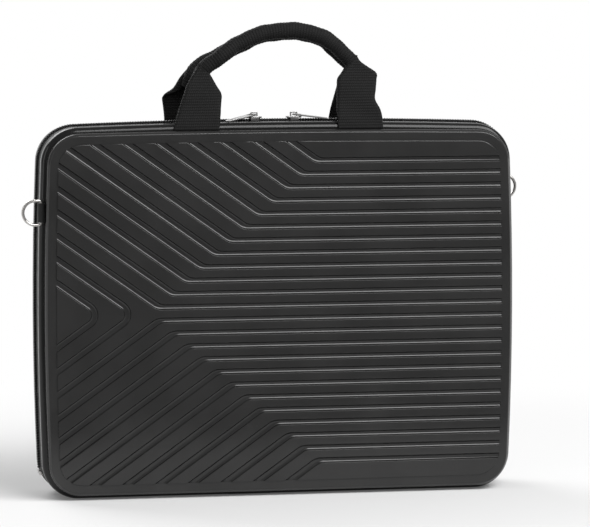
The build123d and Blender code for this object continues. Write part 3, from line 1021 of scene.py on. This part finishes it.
@dataclass(frozen=True)
class WebbingHandle:
    """A strap of webbing with flat legs, whose middle is rolled round into a grip.

    Its sizes are in millimetres, as its stations are.
    """

    half: str
    strips: tuple[Strip, ...]
    width: float = 38.0
    thick: float = 1.9
    fold_radius: float = 1.7
    least_radius: float = 0.05
    fold_ease: float = 1.1
    least_flat: float = 0.2
    roll: float = 0.97
    roll_flatness: float = 0.62
    lean: float = 13.6
    foot_y: float = -25.4
    foot_z: float = 309.3
    rib: float = 2.4
    rib_relief: float = 0.14
    ripple: float = 0.3
    ripple_turns: Point = (0.16, 2.1)  # radians for a millimetre along, and for the half width
    ripple_start: float = 12.0
    lumps: tuple[tuple[float, float, float], ...] = ((0.3, 0.21, 2.3), (0.18, 0.47, 4.0))
    columns: int = 40
    curve_steps: int = 40

    def build(self) -> None:
        """Make the strips from flat grids that are folded to their form."""
        name = f"{self.half}_webbing_handle"
        strap = joined([self.sheet(strip) for strip in self.strips], name)
        modify(strap, "SOLIDIFY", thickness=self.thick * MM, offset=0.0, use_even_offset=True)
        if self.half == "rear":
            strap.data.transform(HALF_TURN)
        smooth(strap, 60.0)
        node = f"{self.half}_handle"
        fit_out(strap, HANDLE_WEBBING, node, [node])

    def sheet(self, strip: Strip) -> bpy.types.Object:
        """Fold one flat grid to its strip's form."""
        line = self.middle_line(strip)
        bpy.ops.mesh.primitive_grid_add(
            x_subdivisions=self.columns, y_subdivisions=len(line) - 1, size=2 * MM
        )
        sheet = bpy.context.object
        self.lay(sheet, line, strip.fold)
        return sheet

    def middle_line(self, strip: Strip) -> list[tuple[float, ...]]:
        """Give a strip's middle, half a rib apart: across, rise, half, back and run."""
        stations, steps = strip.stations, self.curve_steps
        last = len(stations) - 1
        fine: list[tuple[float, ...]] = []
        for index in range(last):
            near = [stations[max(0, min(last, index + k))] for k in (-1, 0, 1, 2)]
            for step in range(steps + (index == last - 1)):
                values = [
                    curve_through([getattr(station, part) for station in near], step / steps)
                    for part in ("across", "rise", "half", "back")
                ]
                across, rise = values[:2]
                run = fine[-1][4] + hypot(across - fine[-1][0], rise - fine[-1][1]) if fine else 0.0
                fine.append((*values, run))
        spaced = [fine[0]]
        for point in fine:
            if point[4] - spaced[-1][4] >= self.rib / 2:
                spaced.append(point)
        return spaced

    def lay(self, sheet: bpy.types.Object, line: Sequence[tuple[float, ...]], fold: Fold) -> None:
        """Move a grid's vertices to the folded form and map its weave.

        Args:
            sheet: The flat grid.
            line: The strip's middle line.
            fold: How the strip is folded.
        """
        last = len(line) - 1
        lean = radians(self.lean)
        weave: dict[int, Point] = {}
        for vertex in sheet.data.vertices:
            share = vertex.co.x / MM
            row = min(last, max(0, round((vertex.co.y / MM + 1) / 2 * last)))
            x, up, depth = self.spot(line, row, share, fold)
            weave[vertex.index] = (share * self.width / 2 * MM, line[row][4] * MM)
            y = self.foot_y + up * sin(lean) + depth * cos(lean)
            z = self.foot_z + up * cos(lean) - depth * sin(lean)
            vertex.co = Vector((x, y, z)) * MM
        layer = sheet.data.uv_layers.active or sheet.data.uv_layers.new()
        layer.name = WEAVE_MAP
        for loop in sheet.data.loops:
            layer.data[loop.index].uv = weave[loop.vertex_index]

    def spot(
        self, line: Sequence[tuple[float, ...]], row: int, share: float, fold: Fold
    ) -> tuple[float, float, float]:
        """Give a point of the webbing in the leaning strap's own plane.

        Args:
            line: The strip's middle line.
            row: The point's place along it.
            share: Its place across the webbing, from -1 to 1.
            fold: How the strip is folded.

        Returns:
            Its place sideways, up, and behind the plane.
        """
        middle, rise, half, back, run = line[row]
        ridge = self.rib_relief * (1 if row % 2 else -1)
        if fold is Fold.FLAT:
            sideways, depth = self.folded(share, half)
            along, across = self.ripple_turns
            ripple = self.ripple * sin(run * along + share * across)
            depth += ripple * min(1.0, run / self.ripple_start) - ridge
            return middle + sideways, rise, depth + back
        ahead, behind = line[min(len(line) - 1, row + 1)], line[max(0, row - 1)]
        reach = hypot(ahead[0] - behind[0], ahead[1] - behind[1])
        step_x, step_up = (ahead[0] - behind[0]) / reach, (ahead[1] - behind[1]) / reach
        lump = sum(size * sin(run * along + share * across) for size, along, across in self.lumps)
        swell = 1 + (ridge + lump) / half
        sideways, depth = (part * swell for part in self.rolled(share, half))
        return middle + step_up * sideways, rise - step_x * sideways, depth + back

    def folded(self, share: float, half: float) -> Point:
        """Give a point of the flat section, whose spare width is folded behind.

        Args:
            share: Place across the webbing, from -1 to 1.
            half: Half the section's width as seen from the front.

        Returns:
            Its place sideways, and behind the strap's plane.
        """
        side = -1 if share < 0 else 1
        reach = abs(share) * self.width / 2
        spare = self.width / 2 - half
        radius = max(self.least_radius, self.fold_radius * min(1.0, spare * self.fold_ease))
        flat = max(half - radius, self.least_flat)
        if reach <= flat:
            return side * reach, 0.0
        if reach <= flat + pi * radius:
            angle = (reach - flat) / radius
            return side * (flat + radius * sin(angle)), radius * (1 - cos(angle))
        behind = self.width / 2 - flat - pi * radius
        squeeze = min(1.0, (flat - self.least_flat / 2) / behind)
        return side * (flat - (reach - flat - pi * radius) * squeeze), 2 * radius

    def rolled(self, share: float, half: float) -> Point:
        """Give a point of the rolled section.

        Args:
            share: Place across the webbing, from -1 to 1.
            half: Half the section's width as seen from the front.

        Returns:
            Its place sideways, and behind the strap's plane.
        """
        angle = pi * self.roll * share
        wide = half - self.thick / 2
        return wide * sin(angle), -(half * self.roll_flatness) * cos(angle)


def curve_through(values: Sequence[float], share: float) -> float:
    """Give a point between the middle two of four values on a smooth curve through them."""
    before, first, second, after = values
    slope_in, slope_out = (second - before) / 2, (after - first) / 2
    rest = 1 - share
    return (
        first * (1 + 2 * share) * rest**2
        + slope_in * share * rest**2
        + second * share**2 * (3 - 2 * share)
        - slope_out * share**2 * rest
    )


@dataclass(frozen=True)
class StrapRings:
    """The D-rings and the webbing tabs that hold them."""

    wire: float = 2.6 * MM
    span: float = 20.2 * MM
    leg: float = 5.1 * MM
    bend: float = 2.0 * MM
    bar_x: float = 201.1 * MM
    bar_y: float = 26.4 * MM
    left_z: float = 240.7 * MM
    right_z: float = 253.7 * MM
    sides: int = 14
    bend_steps: int = 8
    bow_steps: int = 36
    tab_round: float = 0.3 * MM

    def build(self) -> None:
        """Make both rings and both tabs."""
        for side, body, height in (
            ("left", "front_half", self.left_z),
            ("right", "rear_half", self.right_z),
        ):
            ring = self.ring(f"{side}_strap_ring", height)
            if side == "right":
                ring.data.transform(HALF_TURN)
            smooth(ring, 60.0)
            fit_out(ring, NICKEL, f"{side}_d_ring", [f"{side}_d_ring"])
            tab = copied_node(f"{side}_ring_tab", f"{side}_webbing_tab")
            soften(tab, self.tab_round, 2, 60.0)
            smooth(tab, 50.0)
            fit_out(tab, TAB_WEBBING, body, [f"{side}_ring_tab"])

    def ring(self, name: str, height: float) -> bpy.types.Object:
        """Bend a ring from round wire, in the front's left tab.

        Args:
            name: The piece's name.
            height: The ring's middle above the floor.

        Returns:
            The closed ring.
        """
        half = self.span / 2
        straight = 2 * (half - self.bend)
        bar = Vector((-self.bar_x, -self.bar_y, height))
        bpy.ops.mesh.primitive_circle_add(
            vertices=self.sides, radius=self.wire / 2, fill_type="NOTHING",
            location=bar - Vector((0, 0, straight / 2)),
        )
        ring = bpy.context.object
        ring.name = name
        settle(ring)
        with editing(ring):
            pick_all()
            bpy.ops.mesh.extrude_region_move(TRANSFORM_OT_translate={"value": (0, 0, straight)})
            self.turn(bar + Vector((-self.bend, 0, straight / 2)), 90.0, self.bend_steps)
            self.run(Vector((self.bend - self.leg, 0, 0)))
            self.turn(bar + Vector((-self.leg, 0, 0)), 180.0, self.bow_steps)
            self.run(Vector((self.leg - self.bend, 0, 0)))
            self.turn(bar + Vector((-self.bend, 0, -straight / 2)), 90.0, self.bend_steps)
            pick_all()
            bpy.ops.mesh.remove_doubles(threshold=0.01 * MM)
            bpy.ops.mesh.normals_make_consistent(inside=False)
        return ring

    @staticmethod
    def run(step: Vector) -> None:
        """Carry the wire's end on in a straight line."""
        bpy.ops.mesh.extrude_region_move(TRANSFORM_OT_translate={"value": tuple(step)})

    @staticmethod
    def turn(centre: Vector, angle: float, steps: int) -> None:
        """Bend the wire's end round a centre, in the ring's own upright plane."""
        bpy.ops.mesh.spin(
            steps=steps, angle=radians(angle), center=tuple(centre), axis=(0.0, 1.0, 0.0)
        )


@dataclass(frozen=True)
class PaddedInside:
    """The padded trays and the elastic bands."""

    floor_y: float = 29.2 * MM
    half_width: float = 185.0 * MM
    low: float = 20.0 * MM
    high: float = 291.0 * MM
    cell: float = 45.0 * MM
    puff: float = 1.6 * MM
    fullness: float = 0.4
    sunk: float = 0.3 * MM
    band_x: float = 110.0 * MM
    band_half: float = 14.0 * MM
    band_ease: float = 7.5 * MM
    band_round: float = 0.3 * MM
    tray_round: float = 1.1 * MM
    columns: int = 132
    rows: int = 96

    def build(self) -> None:
        """Make both trays with quilted floors, and the two bands."""
        tray = copied_node("front_lining", "front_padded_tray")
        soften(tray, self.tray_round, 3, 50.0)
        tray = joined([tray, self.quilted_floor()], "front_padded_tray")
        smooth(tray, 50.0)
        for piece in fit_both_halves(tray, LINING_CLOTH, "lining"):
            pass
        for side in ("left", "right"):
            band = copied_node(f"{side}_laptop_strap", f"{side}_elastic_band")
            self.map_weave(band)
            soften(band, self.band_round, 2, 60.0)
            smooth(band, 40.0)
            fit_out(band, STRAP_ELASTIC, "rear_half", [f"{side}_laptop_strap"])

    def quilted_floor(self) -> bpy.types.Object:
        """Puff a grid up between its quilting seams.

        Returns:
            The quilted sheet on the front tray's floor.
        """
        bpy.ops.mesh.primitive_grid_add(
            x_subdivisions=self.columns, y_subdivisions=self.rows, size=2.0,
            location=(0, -self.floor_y, (self.low + self.high) / 2), rotation=(-pi / 2, 0, 0),
        )
        pad = bpy.context.object
        pad.scale = (self.half_width, (self.high - self.low) / 2, 1.0)
        settle(pad)
        for vertex in pad.data.vertices:
            up_slant = (vertex.co.x + vertex.co.z) / self.cell
            down_slant = (vertex.co.x - vertex.co.z) / self.cell
            swell = abs(sin(pi * up_slant) * sin(pi * down_slant)) ** self.fullness
            clear = abs(abs(vertex.co.x) - self.band_x) - self.band_half
            swell *= min(1.0, max(0.0, clear / self.band_ease))
            vertex.co.y += self.puff * swell - self.sunk
        return pad

    @staticmethod
    def map_weave(band: bpy.types.Object) -> None:
        """Map a band's weave across and along, in metres."""
        layer = band.data.uv_layers.active or band.data.uv_layers.new()
        layer.name = WEAVE_MAP
        for loop in band.data.loops:
            place = band.data.vertices[loop.vertex_index].co
            layer.data[loop.index].uv = (place.x, place.z)


@dataclass(frozen=True)
class HingeGusset:
    """The cloth hinge along the bottom."""

    cuts: int = 15
    reach: float = 13.0 * MM

    def build(self) -> None:
        """Make the gusset with enough folds across it to bend."""
        gusset = copied_node("hinge_gusset", "hinge_gusset_cloth")
        with editing(gusset):
            for index in range(1, self.cuts + 1):
                y = self.reach * (2 * index / (self.cuts + 1) - 1)
                slice_at((0, y, 0), (0, 1, 0))
        smooth(gusset, 50.0)
        gusset.data.materials.clear()
        gusset.data.materials.append(GUSSET_CLOTH.material())
        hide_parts("hinge_gusset")
        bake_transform(gusset)
        LOG.info("%s: %d faces across the hinge", gusset.name, len(gusset.data.polygons))


# ---------------------------------------------------------------- studio
@dataclass(frozen=True)
class Lamp:
    """A soft box."""

    name: str
    place: tuple[float, float, float]
    target: tuple[float, float, float]
    size: tuple[float, float]
    power: float


@dataclass(frozen=True)
class Studio:
    """Floor, lamps, sky and camera."""

    azimuth: float = -10.6
    elevation: float = 5.8
    distance: float = 3.4
    focal_px: float = 4015.0
    image_px: tuple[float, float] = (590.0, 527.0)
    middle_px: tuple[float, float] = (273.7, 307.1)
    middle: tuple[float, float, float] = (0.0, 0.0, 0.1557)
    sensor: float = 36.0
    floor_size: float = 60.0
    backdrop_y: float = 24.0
    front_y: float = -0.36
    sky: float = 0.34
    near: tuple[float, float] = (0.28, 0.8)
    floor_glow: float = 0.08
    paint: float = 0.78
    lamps: tuple[Lamp, ...] = (
        Lamp("right_box", (0.83, -1.06, 1.5), (0, 0, 0.16), (1.9, 1.0), 42.0),
        Lamp("left_box", (-1.9, -0.5, 0.7), (0, 0, 0.16), (0.5, 1.2), 4.0),
        Lamp("back_box", (-0.7, 1.15, 1.35), (0, 0, 0.1), (1.2, 0.8), 16.0),
    )

    def build(self) -> None:
        """Set up everything that isn't part of the case."""
        self.floor()
        for lamp in self.lamps:
            self.hang(lamp)
        self.sky_light()
        self.camera()
        bpy.context.scene.view_settings.view_transform = "Standard"

    def floor(self) -> None:
        """Lay a plain pale floor that shows white and keeps the shadow, and stand a backdrop."""
        middle = self.floor_size / 2 + self.front_y
        ground, paint = self.plane("studio_floor", (0, middle, 0), 0.0)
        x, y, _ = paint.axes()
        far = ((x * x + y * y) ** 0.5).ramp(*self.near)
        self.whiten(paint, far * (1 - self.floor_glow) + self.floor_glow)
        backdrop, paint = self.plane("studio_backdrop", (0, self.backdrop_y, 0), pi / 2)
        self.whiten(paint, 1.0)

    def plane(
        self, name: str, place: tuple[float, float, float], tilt: float
    ) -> tuple[bpy.types.Object, Graph]:
        """Add a big plane with a material of its own.

        Args:
            name: The plane's name.
            place: Its middle.
            tilt: How far it is tilted up.

        Returns:
            The plane and its material's graph.
        """
        bpy.ops.mesh.primitive_plane_add(
            size=self.floor_size, location=place, rotation=(tilt, 0, 0)
        )
        plane = bpy.context.object
        settle(plane)
        plane.name = name
        paint = Graph(f"{name}_white")
        plane.data.materials.append(paint.material)
        return plane, paint

    def whiten(self, graph: Graph, share: Value | float) -> None:
        """Let the rays that show a surface see a share of plain white in it."""
        graph.set(Base_Color=grey(self.paint), Roughness=0.9, Specular_IOR_Level=0.0)
        seen = graph.light_seen_by("Camera", "Glossy", "Transmission")
        glow = graph.node("ShaderNodeEmission", {}, {"Color": grey(1.0), "Strength": 1.0})
        shaders = {1: graph.shader.outputs[0], 2: glow.outputs[0]}
        mixed = graph.node("ShaderNodeMixShader", {}, {0: seen * share, **shaders})
        graph.feed(graph.output.inputs["Surface"], mixed.outputs[0])

    def sky_light(self) -> None:
        """Light everything softly, and show white behind the floor."""
        world = bpy.data.worlds.new("studio_sky")
        bpy.context.scene.world = world
        world.use_nodes = True
        sky = Nodes(world.node_tree)
        strength = sky.light_seen_by("Camera", "Transmission") * (1 - self.sky) + self.sky
        light = sky.node("ShaderNodeBackground", {}, {"Color": grey(1.0), "Strength": strength})
        sky.node("ShaderNodeOutputWorld", {}, {"Surface": light.outputs[0]})

    @staticmethod
    def hang(lamp: Lamp) -> None:
        """Hang a soft box that points at its target."""
        data = bpy.data.lights.new(lamp.name, "AREA")
        data.shape = "RECTANGLE"
        data.size, data.size_y = lamp.size
        data.energy = lamp.power
        box = bpy.data.objects.new(lamp.name, data)
        bpy.context.scene.collection.objects.link(box)
        box.location = lamp.place
        towards = Vector(lamp.target) - Vector(lamp.place)
        box.rotation_euler = towards.to_track_quat("-Z", "Y").to_euler()

    def camera(self) -> None:
        """Stand the camera where the photograph was taken from."""
        turn, lift = radians(self.azimuth), radians(self.elevation)
        back = Vector((sin(turn) * cos(lift), -cos(turn) * cos(lift), sin(lift)))
        right = Vector((cos(turn), sin(turn), 0.0))
        up = back.cross(right)
        metres_per_px = self.distance / self.focal_px
        aim = Vector(self.middle)
        aim += right * (self.image_px[0] / 2 - self.middle_px[0]) * metres_per_px
        aim -= up * (self.image_px[1] / 2 - self.middle_px[1]) * metres_per_px
        place = Vector(self.middle) + back * self.distance
        data = bpy.data.cameras.new("camera")
        data.sensor_width = self.sensor
        data.lens = self.focal_px / self.image_px[0] * self.sensor
        data.clip_start, data.clip_end = 0.05, 200.0
        camera = bpy.data.objects.new("camera", data)
        bpy.context.scene.collection.objects.link(camera)
        camera.location = place
        camera.rotation_mode = "QUATERNION"
        camera.rotation_quaternion = (aim - place).to_track_quat("-Z", "Y")
        bpy.context.scene.camera = camera


def main() -> None:
    """Build the case piece by piece, then its studio."""
    logging.basicConfig(level=logging.INFO, format="%(message)s")
    deselect_all()
    Studio().build()
    MouldedShells().build()
    BeadRims().build()
    ZipFastener().build(RimOutline())
    WebbingHandle("front", FRONT_STRIPS).build()
    WebbingHandle("rear", REAR_STRIPS).build()
    StrapRings().build()
    PaddedInside().build()
    HingeGusset().build()


if __name__ == "__main__":
    main()
